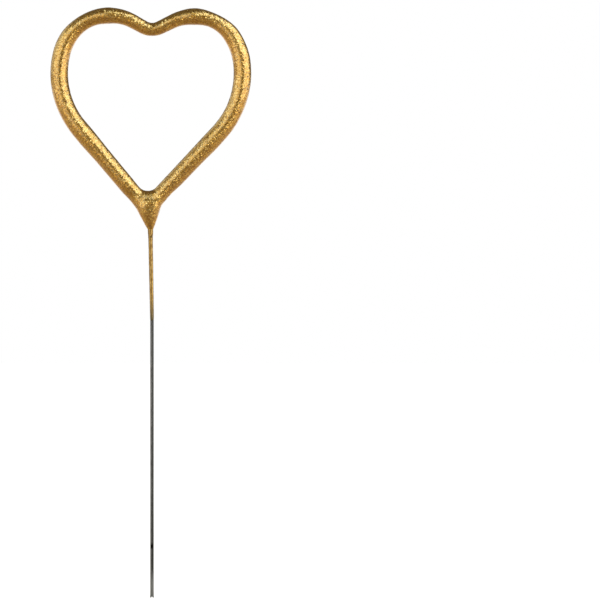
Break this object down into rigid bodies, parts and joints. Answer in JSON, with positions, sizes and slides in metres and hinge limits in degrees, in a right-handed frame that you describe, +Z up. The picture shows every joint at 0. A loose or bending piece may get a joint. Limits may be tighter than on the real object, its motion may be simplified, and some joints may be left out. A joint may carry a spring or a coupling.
{
  "type": "heart sparkler",
  "caption": "Hand-held sparkler: a steel wire stem whose top is bent into a heart, coated with spark mixture and dipped in gold lacquer.",
  "frame": {"origin": "middle of the cut lower end of the bare stem", "axes": "+Z up along the bare stem towards the heart, +X to the right of the heart, -Y out of its front"},
  "size_m": [0.0613, 0.0058, 0.1801],
  "materials": {
    "drawn_steel": "plain drawn wire, dull grey",
    "spark_mixture": "dried grey slurry with metal grit",
    "gold_lacquer": "bronze-powder lacquer over grit, semi-gloss"
  },
  "bodies": {
    "root": {"core_wire": "drawn_steel", "first_dip": "spark_mixture", "second_dip": "spark_mixture", "gold_lacquer": "gold_lacquer"}
  },
  "joints": []
}
